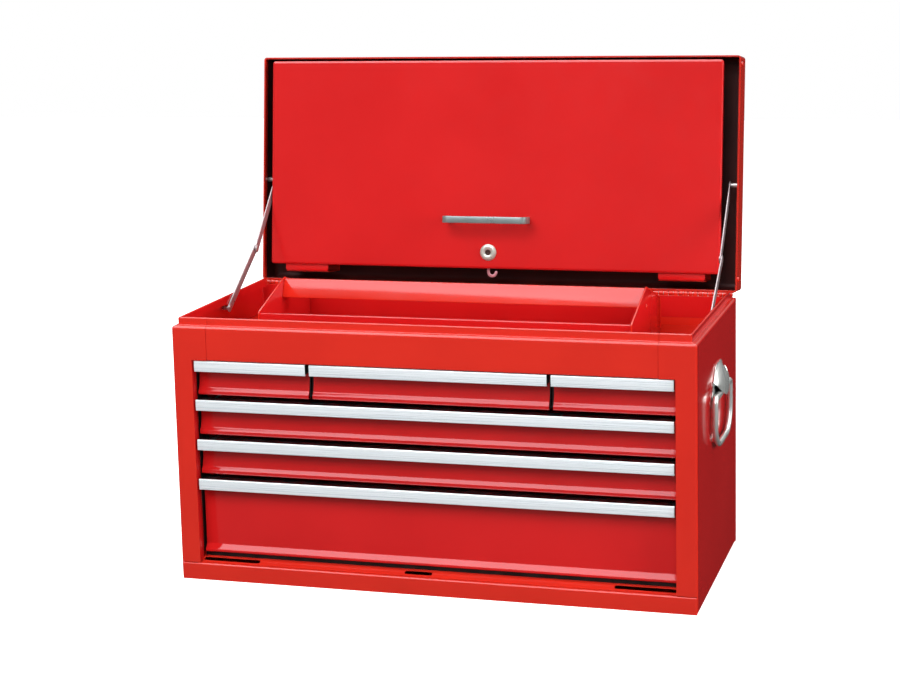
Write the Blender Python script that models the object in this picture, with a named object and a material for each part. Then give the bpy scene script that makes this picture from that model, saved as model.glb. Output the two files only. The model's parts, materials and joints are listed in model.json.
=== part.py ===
"""Six-drawer steel tool chest with a lift-up lid, a tote tray and a front cover stowed in the lid.

Metres, +Z up.  The origin is at the centre of the base and the drawers face -Y.
The lid is modelled standing open, as far back as its two folding stays let it go.
"""
from math import acos, atan2, cos, hypot, pi, radians, sin

import bmesh
import bpy
from mathutils import Vector

# ---------------------------------------------------------------- driving dimensions
WIDTH = 0.660
DEPTH = 0.307
SHOULDER = 0.327            # height of the case up to the ledge that the lid comes down to
SHEET = 0.001               # steel sheet
GAP = 0.0003                # clearance between touching pieces

RIM_INSET = 0.008           # the raised rim stands this far inside the outer faces
RIM_HEIGHT = 0.010
RIM_HEM = 0.002             # the rim is folded double
SHOULDER_RADIUS = 0.004

LID_HEIGHT = 0.049
LID_LIFT = 0.0015           # the closed lid's edge stands this far above the shoulder
LID_RADIUS = 0.009
LID_OPEN = radians(97)

OPENING_X = 0.3045          # half the width of the drawer opening
OPENING_TOP = 0.284
STILE_HEAD_X = 0.2845       # the stiles widen to here beside the top rail
BOTTOM_RAIL = 0.0235
RAIL_RETURN = 0.015
LEDGE_RISE = 0.0075         # the bottom rail's slotted ledge slopes up behind its lip
LEDGE_TOP = BOTTOM_RAIL + LEDGE_RISE
FLOOR_Z = 0.2873            # underside of the compartment floor

TRIM_HEIGHT = 0.014
TRIM_SHEET = 0.0015
TRIM_REACH = 0.0165         # how far the pull trim stands out from the drawer face below it
TRIM_SETBACK = 0.0015       # the trims' front behind the frame's front
FACE_FLARE = 0.007          # the face leans out by this much from top to bottom
ROW_TOPS = (0.283, 0.233, 0.182, 0.131)
ROW_BOTTOMS = (0.239, 0.188, 0.137, 0.0345)
FACE_ROLLS = (0.0035, 0.0035, 0.0035, 0.006)
FRONT_X = 0.3022            # half the width of a full-width drawer front
SPLIT_X = 0.1525            # the top row's dividers
SPLIT_GAP = 0.0017          # from a divider's middle to the fronts beside it
PAN_X = 0.2908              # half the width of a full-width drawer pan
PAN_BACK = 0.130
SLIDE_FRONT = -0.128
SLIDE_HEIGHT = 0.030
SLIDE_LENGTH = 0.268
CARRIER_X = 0.3050

KNUCKLE_RADIUS = 0.003
KNUCKLE_SHEET = 0.0012
PIN_RADIUS = 0.0014
HINGE_X = 0.325
HINGE_LEAF = 0.027
KNUCKLES = 9

STAY_LENGTH = 0.1175        # pivot to elbow, both links
STAY_WIDTH = 0.011
STAY_SHEET = 0.0015
STAY_FOOT = (0.008, 0.320)  # y, z of the pivot on the case
STAY_HEAD = (0.142, 0.014)  # pivot on the lid: out from the hinge, up from the hinge
STAY_LOWER_X = 0.3180       # inner face of the lower link
STAY_UPPER_X = 0.3162       # inner face of the upper link

COVER_WIDTH = 0.624
COVER_HEIGHT = 0.279
COVER_RETURN = 0.007
COVER_CENTRE_X = -0.0035
COVER_FOOT = 0.026          # the cover's lower edge, out from the hinge
COVER_PROUD = 0.006         # its face stands out of the lid by this much
TAB_WIDTH = 0.062
TAB_SPACING = 0.522
TAB_DROP = 0.009
PULL_LENGTH = 0.108
PULL_REACH = 0.026
PULL_FOOT = 0.092           # out from the hinge
LOCK_FOOT = 0.048           # out from the hinge

TRAY_X = 0.240
TRAY_FRONT = -0.085
TRAY_BACK = 0.100
TRAY_FLOOR = 0.2890
TRAY_WALL = 0.333
TRAY_PEAK = 0.3625
TRAY_RIDGE_Y = 0.0075

BAIL_WIDTH = 0.118
BAIL_DROP = 0.062
BAIL_ROD = 0.0036           # radius
BAIL_Z = 0.240
BAIL_CORNER = 0.034
HANDLE_PLATE = (0.104, 0.062)
HANDLE_HOOD = 0.066

# ---------------------------------------------------------------- derived places
FRONT = -DEPTH / 2
BACK = DEPTH / 2
SIDE = WIDTH / 2
WALL = SIDE - SHEET         # inner face of the side panels
RIM_TOP = SHOULDER + RIM_HEIGHT
LID_EDGE = SHOULDER + LID_LIFT
HINGE_Y = BACK + GAP + KNUCKLE_RADIUS
HINGE_Z = LID_EDGE + 0.001
TRIM_FRONT = FRONT + TRIM_SETBACK
X_AXIS, Y_AXIS, Z_AXIS = 0, 1, 2


# ---------------------------------------------------------------- materials
def make_material(name, color, roughness, metallic):
    material = bpy.data.materials.new(name)
    material.use_nodes = True
    shader = material.node_tree.nodes["Principled BSDF"]
    shader.inputs["Base Color"].default_value = (*color, 1)
    shader.inputs["Roughness"].default_value = roughness
    shader.inputs["Metallic"].default_value = metallic
    material.diffuse_color = (*color, 1)
    return material


# ---------------------------------------------------------------- shape helpers
def arc(center, radius, start, end, steps):
    """Points on an arc, angles in degrees."""
    angles = [radians(start + (end - start) * i / steps) for i in range(steps + 1)]
    return [(center[0] + radius * cos(a), center[1] + radius * sin(a)) for a in angles]


def circle(center, radius, sides):
    return arc(center, radius, 0, 360 * (sides - 1) / sides, sides - 1)


def strip(path, thickness):
    """Outline of a bent sheet: one face follows path, the other lies thickness to its left."""
    normals = []
    for (x0, y0), (x1, y1) in zip(path, path[1:]):
        length = hypot(x1 - x0, y1 - y0)
        normals.append(Vector((-(y1 - y0) / length, (x1 - x0) / length)))
    befores = [normals[0]] + normals
    afters = normals + [normals[-1]]
    offset = []
    for point, a, b in zip(path, befores, afters):
        shift = (a + b) * (thickness / (1 + a.dot(b)))
        offset.append((point[0] + shift.x, point[1] + shift.y))
    return list(path) + offset[::-1]


def prism(outline, axis, start, end, bm=None):
    """Extrude a closed outline along axis; its points are (y, z), (x, z) or (x, y)."""
    bm = bm or bmesh.new()
    u, v = [i for i in range(3) if i != axis]
    corners = []
    for point in outline:
        co = [0.0, 0.0, 0.0]
        co[axis], co[u], co[v] = start, point[0], point[1]
        corners.append(bm.verts.new(co))
    face = bm.faces.new(corners)
    made = bmesh.ops.extrude_face_region(bm, geom=[face])["geom"]
    shift = Vector((0, 0, 0))
    shift[axis] = end - start
    moved = [item for item in made if isinstance(item, bmesh.types.BMVert)]
    bmesh.ops.translate(bm, verts=moved, vec=shift)
    return bm


def box(low, high, bm=None):
    outline = [(low[0], low[1]), (high[0], low[1]), (high[0], high[1]), (low[0], high[1])]
    return prism(outline, Z_AXIS, low[2], high[2], bm)


def open_box(low, high, wall):
    """A pan: a box whose top is sunk to leave walls and a floor."""
    bm = box(low, high)
    top = max(bm.faces, key=lambda f: f.calc_center_median().z)
    bmesh.ops.inset_region(bm, faces=[top], thickness=wall)
    made = bmesh.ops.extrude_face_region(bm, geom=[top])["geom"]
    bmesh.ops.delete(bm, geom=[top], context="FACES_ONLY")
    sunk = [item for item in made if isinstance(item, bmesh.types.BMVert)]
    bmesh.ops.translate(bm, verts=sunk, vec=(0, 0, low[2] + wall - high[2]))
    return bm


def put(name, bm, material, parent=None, smooth=False):
    """Turn a bmesh into a named object."""
    bmesh.ops.recalc_face_normals(bm, faces=bm.faces)
    mesh = bpy.data.meshes.new(name)
    bm.to_mesh(mesh)
    bm.free()
    if smooth:
        mesh.shade_smooth()
        mesh.set_sharp_from_angle(angle=radians(35))
    mesh.materials.append(material)
    piece = bpy.data.objects.new(name, mesh)
    bpy.context.scene.collection.objects.link(piece)
    piece.parent = parent
    return piece


def pivot(name, location, turn=0.0, parent=None):
    """An empty on a joint's axis, turned about X; what rides on the joint hangs from it."""
    empty = bpy.data.objects.new(name, None)
    bpy.context.scene.collection.objects.link(empty)
    empty.location = location
    empty.rotation_euler = (turn, 0, 0)
    empty.parent = parent
    return empty


def combine(piece, bm, operation):
    """Cut a shape from a piece, or join it on."""
    tool = put(piece.name + "_" + operation.lower(), bm, piece.data.materials[0], piece.parent)
    tool.hide_render = True
    tool.display_type = "WIRE"
    step = piece.modifiers.new(operation.title(), "BOOLEAN")
    step.operation = operation
    step.solver = "EXACT"
    step.object = tool
    return piece


# ---------------------------------------------------------------- case
def edge_profile(bottom):
    """Outline (inset, z) of the outer sheet: wall, rounded shoulder and folded rim."""
    r = SHOULDER_RADIUS
    outer = arc((r, SHOULDER - r), r, 180, 90, 4)
    inner = arc((r, SHOULDER - r), r - SHEET, 90, 180, 4)
    rim = [
        (RIM_INSET, SHOULDER),
        (RIM_INSET, RIM_TOP),
        (RIM_INSET + RIM_HEM, RIM_TOP),
        (RIM_INSET + RIM_HEM, SHOULDER - SHEET),
    ]
    return [(0, bottom)] + outer + rim + inner + [(SHEET, bottom)]


def side_panel(name, side, material):
    """Side wall and front stile in one sheet, its rim mitred at the corner."""
    profile = edge_profile(0)
    bm = bmesh.new()
    stations = [
        [(side * (SIDE - d), BACK - SHEET - GAP, z) for d, z in profile],
        [(side * (SIDE - d), FRONT + d, z) for d, z in profile],
        [(side * STILE_HEAD_X, FRONT + d, z) for d, z in profile],
    ]
    rings = [[bm.verts.new(co) for co in station] for station in stations]
    for near, far in zip(rings, rings[1:]):
        for i in range(len(near)):
            j = (i + 1) % len(near)
            bm.faces.new((near[i], near[j], far[j], far[i]))
    bm.faces.new(rings[0])
    bm.faces.new(rings[-1])
    panel = put(name, bm, material)
    beyond = SIDE + 0.05
    rail_top = BOTTOM_RAIL + GAP
    opening = [
        (-OPENING_X, OPENING_TOP),
        (OPENING_X, OPENING_TOP),
        (OPENING_X, rail_top),
        (beyond, rail_top),
        (beyond, -0.01),
        (-beyond, -0.01),
        (-beyond, rail_top),
        (-OPENING_X, rail_top),
    ]
    return combine(panel, prism(opening, Y_AXIS, FRONT - 0.05, FRONT + SHEET + GAP), "DIFFERENCE")


def build_case(red, black):
    for name, side in (("left_side_panel", -1), ("right_side_panel", 1)):
        side_panel(name, side, red)
    back = box((-SIDE, BACK - SHEET, 0), (SIDE, BACK, SHOULDER - 0.0005))
    put("back_panel", back, red)
    inside = WALL - GAP
    put(
        "bottom_panel",
        box((-inside, FRONT + SHEET + GAP, 0), (inside, BACK - SHEET - GAP, SHEET)),
        red,
    )

    rail = [(FRONT + d, z) for d, z in edge_profile(OPENING_TOP)]
    flange_top = OPENING_TOP + SHEET
    rail[-1:] = [(FRONT + SHEET, flange_top), (FRONT + RAIL_RETURN, flange_top)]
    rail.append((FRONT + RAIL_RETURN, OPENING_TOP))
    put("top_rail", prism(rail, X_AXIS, -STILE_HEAD_X + GAP, STILE_HEAD_X - GAP), red)

    lip = 0.003
    ledge = [(FRONT, 0)]
    ledge += arc((FRONT + lip, BOTTOM_RAIL - lip), lip, 180, 90, 3)
    ledge += [(FRONT + 0.006, BOTTOM_RAIL), (FRONT + 0.0165, LEDGE_TOP), (FRONT + 0.034, LEDGE_TOP)]
    bottom_rail = put("bottom_rail", prism(strip(ledge, -SHEET), X_AXIS, -SIDE, SIDE), red)
    slots = bmesh.new()
    for start, end in ((-0.303, -0.228), (-0.036, -0.001), (0.228, 0.303)):
        box((start, FRONT + 0.0085, 0.015), (end, FRONT + 0.0145, 0.040), slots)
    for side in (-1, 1):    # behind the lip, the ledge stops at the side walls
        box((side * inside, FRONT + SHEET + 0.0001, -0.01), (side * (SIDE + 0.01), FRONT + 0.05, 0.05), slots)
    combine(bottom_rail, slots, "DIFFERENCE")

    inner_back = BACK - SHEET - 2 * GAP
    floor = [(FRONT + SHEET + 2 * GAP, FLOOR_Z), (inner_back, FLOOR_Z), (inner_back, FLOOR_Z + 0.011)]
    put("compartment_floor", prism(strip(floor, SHEET), X_AXIS, -inside, inside), red)

    for name, side in (("slide_carrier_left", -1), ("slide_carrier_right", 1)):
        x0, x1 = side * CARRIER_X, side * (WALL - GAP)
        y0, y1 = FRONT + 0.003, BACK - 0.0035
        plan = strip([(x1, y0), (x0, y0), (x0, y1), (x1, y1)], -side * SHEET)
        put(name, prism(plan, Z_AXIS, LEDGE_TOP + 0.0008, FLOOR_Z - GAP), red)

    ledge_z = ROW_BOTTOMS[0] - SHEET
    for name, side in (("row_divider_left", -1), ("row_divider_right", 1)):
        web, foot, low = SHEET / 2, 0.0085, ledge_z + SHEET
        tee = [(-foot, ledge_z), (foot, ledge_z), (foot, low), (web, low)]
        tee += [(web, FLOOR_Z - GAP), (-web, FLOOR_Z - GAP), (-web, low), (-foot, low)]
        tee = [(side * SPLIT_X + x, z) for x, z in tee]
        put(name, prism(tee, Y_AXIS, SLIDE_FRONT, BACK - 0.004), black)
    for name, side in (("guide_rail_left", -1), ("guide_rail_right", 1)):
        outer = side * (CARRIER_X - GAP)
        angle = [(outer - side * 0.009, ledge_z), (outer, ledge_z), (outer, ledge_z + 0.022)]
        put(name, prism(strip(angle, side * SHEET), Y_AXIS, SLIDE_FRONT, BACK - 0.004), black)


# ---------------------------------------------------------------- drawers
def build_slides(row, z, zinc):
    """A ball-slide pair: outer channels on the carriers, inner channels on the drawer."""
    half = SLIDE_HEIGHT / 2
    for word, side in (("left", -1), ("right", 1)):
        web = side * (CARRIER_X - GAP)
        lip = web - side * 0.0082
        channel = strip([(lip, z - half), (web, z - half), (web, z + half), (lip, z + half)], side * SHEET)
        outer = prism(channel, Y_AXIS, SLIDE_FRONT, SLIDE_FRONT + SLIDE_LENGTH)
        put("slide_outer_%s_%s" % (row, word), outer, zinc)
        web = side * (PAN_X + GAP)
        lip = web + side * 0.0088
        reach = half - 0.004
        channel = strip([(lip, z - reach), (web, z - reach), (web, z + reach), (lip, z + reach)], -side * SHEET)
        inner = prism(channel, Y_AXIS, SLIDE_FRONT, PAN_BACK - 0.005)
        put("slide_inner_%s_%s" % (row, word), inner, zinc)


def build_drawer(name, row, x0, x1, pan_x0, pan_x1, red, aluminium):
    """A drawer: pan and flared face in one, and the pull trim across its top edge.

    It is modelled from the middle of its front's top edge."""
    top, bottom, roll = ROW_TOPS[row], ROW_BOTTOMS[row] - ROW_TOPS[row], FACE_ROLLS[row]
    middle = (x0 + x1) / 2
    place = pivot(name, (middle, TRIM_FRONT, top))
    half = (x1 - x0) / 2
    toe = TRIM_REACH - FACE_FLARE
    face = [(TRIM_REACH, -TRIM_SHEET - 0.0005)]
    face += arc((toe + roll, bottom + roll), roll, 180, 270, 4)
    face += [(TRIM_REACH + 0.004, bottom)]
    front = prism(strip(face, SHEET), X_AXIS, -half, half)
    drawer = put(name + "_box", front, red, place)
    pan = open_box(
        (pan_x0 - middle, TRIM_REACH + 0.0004, bottom + 0.0005),
        (pan_x1 - middle, PAN_BACK - TRIM_FRONT, -0.006),
        SHEET,
    )
    combine(drawer, pan, "UNION")
    hook = [(TRIM_REACH + 0.002, 0), (0, 0), (0, -TRIM_HEIGHT), (0.004, -TRIM_HEIGHT)]
    put(name + "_trim", prism(strip(hook, TRIM_SHEET), X_AXIS, -half, half), aluminium, place)


def build_drawers(red, aluminium, zinc):
    split = SPLIT_X + SPLIT_GAP
    web = SPLIT_X + SHEET / 2 + 0.001
    small_pan = FRONT_X
    build_drawer("top_left_drawer", 0, -FRONT_X, -split, -small_pan, -web, red, aluminium)
    middle = SPLIT_X - SPLIT_GAP
    inner = SPLIT_X - SHEET / 2 - 0.001
    build_drawer("top_middle_drawer", 0, -middle, middle, -inner, inner, red, aluminium)
    build_drawer("top_right_drawer", 0, split, FRONT_X, web, small_pan, red, aluminium)
    for row, name in ((1, "upper_drawer"), (2, "lower_drawer"), (3, "deep_drawer")):
        build_drawer(name, row, -FRONT_X, FRONT_X, -PAN_X, PAN_X, red, aluminium)
        build_slides(name, ROW_TOPS[row] - 0.0265, zinc)


# ---------------------------------------------------------------- tote tray
def build_tray(red):
    place = pivot("tote_tray", (0, TRAY_RIDGE_Y, TRAY_FLOOR))
    front, back = TRAY_FRONT - TRAY_RIDGE_Y, TRAY_BACK - TRAY_RIDGE_Y
    wall, peak = TRAY_WALL - TRAY_FLOOR, TRAY_PEAK - TRAY_FLOOR
    hem = 0.005
    inside = TRAY_X - SHEET - GAP
    pan = [(front + hem, wall), (front, wall), (front, 0), (back, 0), (back, wall), (back - hem, wall)]
    put("tray_pan", prism(strip(pan, SHEET), X_AXIS, -inside, inside), red, place)
    flat = 0.0055
    end = [(front - 0.001, 0), (back + 0.001, 0), (back + 0.001, wall + 0.001)]
    end += [(flat, peak), (-flat, peak), (front - 0.001, wall + 0.001)]
    for name, side in (("tray_end_left", -1), ("tray_end_right", 1)):
        put(name, prism(end, X_AXIS, side * (TRAY_X - SHEET), side * TRAY_X), red, place)
    drop, flare = 0.024, 0.007
    roof = [(-flat - flare, peak - drop), (-flat, peak), (flat, peak), (flat + flare, peak - drop)]
    roof = [(y, z - 0.0005) for y, z in roof]
    put("tray_handle", prism(strip(roof, -SHEET), X_AXIS, -inside, inside), red, place)


# ---------------------------------------------------------------- hinge and lid
def hinge_leaf(name, up, knuckles, material, parent):
    """A leaf of the piano hinge, drawn about the pin; up is 1 above the pin and -1 below it."""
    plate_y = -KNUCKLE_RADIUS
    stand_off = KNUCKLE_RADIUS + 0.001
    plate = box(
        (-HINGE_X, plate_y, min(up * stand_off, up * HINGE_LEAF)),
        (HINGE_X, plate_y + KNUCKLE_SHEET, max(up * stand_off, up * HINGE_LEAF)),
    )
    leaf = put(name, plate, material, parent)
    around = arc((0, 0), KNUCKLE_RADIUS, 180, 180 - 290, 10)
    curl = [(plate_y, -stand_off - 0.001)] + around
    outline = [(y, -up * z) for y, z in strip(curl, -KNUCKLE_SHEET)]
    pitch = 2 * HINGE_X / KNUCKLES
    curls = bmesh.new()
    for i in knuckles:
        start = -HINGE_X + i * pitch + GAP
        prism(outline, X_AXIS, start, start + pitch - 2 * GAP, curls)
    return combine(leaf, curls, "UNION")


def build_hinge(place, red, zinc):
    still = pivot("hinge_line", (0, HINGE_Y, HINGE_Z))
    hinge_leaf("hinge_leaf_case", -1, range(0, KNUCKLES, 2), red, still)
    hinge_leaf("hinge_leaf_lid", 1, range(1, KNUCKLES, 2), red, place)
    pin = prism(circle((0, 0), PIN_RADIUS, 12), X_AXIS, -HINGE_X, HINGE_X)
    put("hinge_pin", pin, zinc, still, smooth=True)


def build_lid(place, red):
    """The lid is drawn closed, from the hinge line; its pivot then swings it open."""
    low, high = LID_EDGE - HINGE_Z, LID_EDGE - HINGE_Z + LID_HEIGHT
    front, back = FRONT - HINGE_Y, BACK - HINGE_Y
    bm = box((-SIDE, front, low), (SIDE, back, high))
    bmesh.ops.delete(bm, geom=[min(bm.faces, key=lambda f: f.calc_center_median().z)], context="FACES_ONLY")
    rounded = [e for e in bm.edges if max(v.co.z for v in e.verts) > (low + high) / 2]
    bmesh.ops.bevel(bm, geom=rounded, offset=LID_RADIUS, segments=3, profile=0.5, affect="EDGES")
    lid = put("lid_shell", bm, red, place)
    shell = lid.modifiers.new("Solidify", "SOLIDIFY")
    shell.thickness = SHEET
    shell.offset = -1

    rest_top = high - SHEET - GAP
    for name, side in (("cover_rest_left", -1), ("cover_rest_right", 1)):
        x = COVER_CENTRE_X + side * TAB_SPACING / 2
        y = -(COVER_FOOT - TAB_DROP) + 0.0015
        guide = strip([(y, low + 0.004), (y, rest_top), (y - 0.010, rest_top)], SHEET)
        put(name, prism(guide, X_AXIS, x - TAB_WIDTH / 2, x + TAB_WIDTH / 2), red, place)


# ---------------------------------------------------------------- folding stays
def stay_link(name, side, inner_x, start, angle, material, studs):
    """A flat link with round ends; studs are (distance along, radius, x from, x to)."""
    place = pivot(name + "_pivot", (0, start[0], start[1]), angle)
    half = STAY_WIDTH / 2
    bar = arc((0, 0), half, 90, 270, 6) + arc((STAY_LENGTH, 0), half, -90, 90, 6)
    link = put(name, prism(bar, X_AXIS, side * inner_x, side * (inner_x + STAY_SHEET)), material, place)
    bm = bmesh.new()
    for along, radius, x0, x1 in studs:
        prism(circle((along, 0), radius, 10), X_AXIS, side * x0, side * x1, bm)
    return combine(link, bm, "UNION")


def build_stays(zinc):
    """Two links a side.  The elbow lies on the hinge side of the line between the end pivots."""
    out, up = STAY_HEAD
    head = (
        HINGE_Y - out * cos(LID_OPEN) + up * sin(LID_OPEN),
        HINGE_Z + out * sin(LID_OPEN) + up * cos(LID_OPEN),
    )
    reach = hypot(head[0] - STAY_FOOT[0], head[1] - STAY_FOOT[1])
    line = atan2(head[1] - STAY_FOOT[1], head[0] - STAY_FOOT[0])
    bend = acos(reach / 2 / STAY_LENGTH)
    mid = 0.0005
    for word, side in (("left", -1), ("right", 1)):
        lower_studs = [(0, 0.003, STAY_LOWER_X + mid, WALL - GAP)]
        stay_link("stay_lower_" + word, side, STAY_LOWER_X, STAY_FOOT, line - bend, zinc, lower_studs)
        upper_studs = [
            (0, 0.003, STAY_UPPER_X + mid, WALL - GAP),
            (STAY_LENGTH, 0.0045, STAY_UPPER_X - 0.0015, STAY_UPPER_X + mid),
        ]
        stay_link("stay_upper_" + word, side, STAY_UPPER_X, head, line + bend + pi, zinc, upper_studs)


# ---------------------------------------------------------------- front cover
def build_cover(place, red, chrome, zinc):
    """The cover is drawn as it lies in the closed lid: its face looks down, its lock is near the hinge.

    Its parent sits on the cover's face, on the hinge-side edge."""
    face_z = LID_EDGE - HINGE_Z - COVER_PROUD
    seat = pivot("cover_seat", (COVER_CENTRE_X, -COVER_FOOT, face_z), 0, place)
    half = COVER_WIDTH / 2
    lock_y, pull_y = COVER_FOOT - LOCK_FOOT, COVER_FOOT - PULL_FOOT

    cover = put(
        "front_cover",
        open_box((-half, -COVER_HEIGHT, 0), (half, 0, COVER_RETURN), SHEET),
        red,
        seat,
    )
    tabs = bmesh.new()
    for side in (-1, 1):
        x = side * TAB_SPACING / 2
        box(
            (x - TAB_WIDTH / 2, -0.0008, COVER_RETURN - SHEET - 0.0003),
            (x + TAB_WIDTH / 2, TAB_DROP, COVER_RETURN - 0.0003),
            tabs,
        )
    combine(cover, tabs, "UNION")
    hole = prism(circle((0, lock_y), 0.0083, 24), Z_AXIS, -0.005, 0.005)
    combine(cover, hole, "DIFFERENCE")

    bar_half, post = PULL_LENGTH / 2, 0.007
    top = -PULL_REACH
    bow = [(-bar_half, -GAP), (-bar_half, top), (bar_half, top), (bar_half, -GAP)]
    bow += [(bar_half - post, -GAP), (bar_half - post, top + 0.005)]
    bow += [(-bar_half + post, top + 0.005), (-bar_half + post, -GAP)]
    put("pull_handle", prism(bow, Y_AXIS, pull_y - 0.0045, pull_y + 0.0045), chrome, seat)

    bore = 0.0053
    housing = prism(circle((0, lock_y), 0.0112, 24), Z_AXIS, -0.0035, -GAP)
    lock = put("lock_housing", housing, chrome, seat, smooth=True)
    combine(lock, prism(circle((0, lock_y), 0.0080, 24), Z_AXIS, -0.0010, 0.0068), "UNION")
    combine(lock, prism(circle((0, lock_y), bore, 24), Z_AXIS, -0.01, 0.02), "DIFFERENCE")

    key = pivot("lock_axis", (0, lock_y, 0), 0, seat)
    plug = put("lock_plug", prism(circle((0, 0), 0.0050, 20), Z_AXIS, -0.0043, 0.0072), chrome, key, True)
    combine(plug, box((-0.0005, -0.0032, -0.01), (0.0005, 0.0032, -0.0018)), "DIFFERENCE")
    hook = [(-0.006, -0.006), (0.006, -0.006), (0.006, 0.028), (0.011, 0.028), (0.011, 0.034), (-0.006, 0.034)]
    put("lock_cam", prism(hook, Z_AXIS, 0.0075, 0.0090), zinc, key)


# ---------------------------------------------------------------- side handles
def bail_path():
    """Points (y, z) round the bail, its top bar on the joint's axis; corners are arcs."""
    half, corner = BAIL_WIDTH / 2, BAIL_CORNER
    tight = 0.008
    low = -BAIL_DROP
    points = arc((half - tight, -tight), tight, 90, 0, 3)
    points += arc((half - corner, low + corner), corner, 0, -90, 6)
    points += arc((-half + corner, low + corner), corner, -90, -180, 6)
    points += arc((-half + tight, -tight), tight, 180, 90, 3)
    return points


def build_side_handle(word, side, chrome):
    """A plate with a hood over the bail's top bar, and the bail that hangs from it."""
    wide, tall = HANDLE_PLATE
    plate_x = SIDE + GAP
    sheet = 0.0015
    bar_x = plate_x + sheet + BAIL_ROD + 0.0006
    top = BAIL_Z + 0.034
    half = wide / 2
    plate = [(-half, top - tall), (half, top - tall), (half, top - 0.030), (0.024, top)]
    plate += [(-0.024, top), (-half, top - 0.030)]
    piece = put(
        "handle_plate_" + word,
        prism(plate, X_AXIS, side * plate_x, side * (plate_x + sheet)),
        chrome,
    )
    clear = BAIL_ROD + 0.0006
    hood = [(-clear - sheet / 2, clear + 0.018), (-clear * 0.2, clear + 0.003)]
    hood += arc((0, 0), clear + 0.0002, 75, -35, 6)
    outline = [(side * (bar_x + x), BAIL_Z + z) for x, z in strip(hood, sheet)]
    combine(piece, prism(outline, Y_AXIS, -HANDLE_HOOD / 2, HANDLE_HOOD / 2), "UNION")

    curve = bpy.data.curves.new("bail_" + word, "CURVE")
    curve.dimensions = "3D"
    curve.bevel_depth = BAIL_ROD
    curve.bevel_resolution = 2
    curve.materials.append(chrome)
    spline = curve.splines.new("POLY")
    points = bail_path()
    spline.points.add(len(points) - 1)
    for point, (y, z) in zip(spline.points, points):
        point.co = (0, y, z, 1)
    spline.use_cyclic_u = True
    bail = bpy.data.objects.new("bail_" + word, curve)
    bail.location = (side * bar_x, 0, BAIL_Z)
    bpy.context.scene.collection.objects.link(bail)


# ---------------------------------------------------------------- assembly
def main():
    for old in list(bpy.data.objects):
        bpy.data.objects.remove(old, do_unlink=True)
    red = make_material("red_enamel", (0.60, 0.018, 0.018), 0.25, 0.0)
    black = make_material("black_steel", (0.05, 0.05, 0.05), 0.45, 0.8)
    zinc = make_material("zinc_steel", (0.62, 0.63, 0.65), 0.35, 1.0)
    aluminium = make_material("brushed_aluminium", (0.83, 0.86, 0.88), 0.3, 1.0)
    chrome = make_material("chrome", (0.80, 0.81, 0.82), 0.08, 1.0)

    build_case(red, black)
    build_drawers(red, aluminium, zinc)
    build_tray(red)
    lid_place = pivot("lid", (0, HINGE_Y, HINGE_Z), -LID_OPEN)
    build_hinge(lid_place, red, zinc)
    build_lid(lid_place, red)
    build_cover(lid_place, red, chrome, zinc)
    build_stays(zinc)
    for word, side in (("left", -1), ("right", 1)):
        build_side_handle(word, side, chrome)


main()
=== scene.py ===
"""The looks of the six-drawer tool chest: enamelled sheet steel, aluminium trims, chrome and zinc fittings.

Metres, in the frame's own axes.  Pieces of the lid and of the stowed front cover are drawn in the
closed lid's frame, whose origin is on the hinge line, and then swung open with it.
"""

import json
from math import acos, atan2, cos, hypot, pi, radians, sin, tan

import bmesh
import bpy
from mathutils import Matrix, Vector

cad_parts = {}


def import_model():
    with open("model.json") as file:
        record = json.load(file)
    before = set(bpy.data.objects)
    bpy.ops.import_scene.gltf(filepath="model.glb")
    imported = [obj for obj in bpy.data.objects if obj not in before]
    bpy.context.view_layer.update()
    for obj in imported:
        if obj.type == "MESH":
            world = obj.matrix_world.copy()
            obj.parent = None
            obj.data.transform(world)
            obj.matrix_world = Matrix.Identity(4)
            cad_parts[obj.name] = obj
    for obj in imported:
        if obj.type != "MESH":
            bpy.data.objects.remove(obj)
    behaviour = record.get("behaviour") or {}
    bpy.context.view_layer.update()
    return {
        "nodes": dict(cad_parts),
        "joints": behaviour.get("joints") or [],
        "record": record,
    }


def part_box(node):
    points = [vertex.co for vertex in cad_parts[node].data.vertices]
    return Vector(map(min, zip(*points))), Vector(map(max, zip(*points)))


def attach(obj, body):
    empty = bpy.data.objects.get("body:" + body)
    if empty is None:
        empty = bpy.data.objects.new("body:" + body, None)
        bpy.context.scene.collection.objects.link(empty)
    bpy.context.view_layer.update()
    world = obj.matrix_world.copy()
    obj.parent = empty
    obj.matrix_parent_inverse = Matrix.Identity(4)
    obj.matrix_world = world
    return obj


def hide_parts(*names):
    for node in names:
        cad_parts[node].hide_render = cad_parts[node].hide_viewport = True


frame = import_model()

JOINTS = {joint["name"]: joint for joint in frame["joints"]}
SLOT_OF = {part["node"]: part["material_slot"] for part in frame["record"]["subparts"]}

# ---------------------------------------------------------------- places, from the frame
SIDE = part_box("back_panel")[1].x
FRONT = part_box("bottom_rail")[0].y
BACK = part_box("back_panel")[1].y
RIM_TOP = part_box("left_side_panel")[1].z
OPENING_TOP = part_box("top_rail")[0].z
STILE_HEAD_X = -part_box("left_side_panel")[1].x
LEDGE_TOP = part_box("bottom_rail")[1].z
HINGE = Vector(JOINTS["lid_hinge"]["pos_m"])
LID_OPEN = -radians(JOINTS["lid_hinge"]["range_deg"][0])
LID_FRAME = Matrix.Translation(HINGE) @ Matrix.Rotation(-LID_OPEN, 4, "X")

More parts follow.
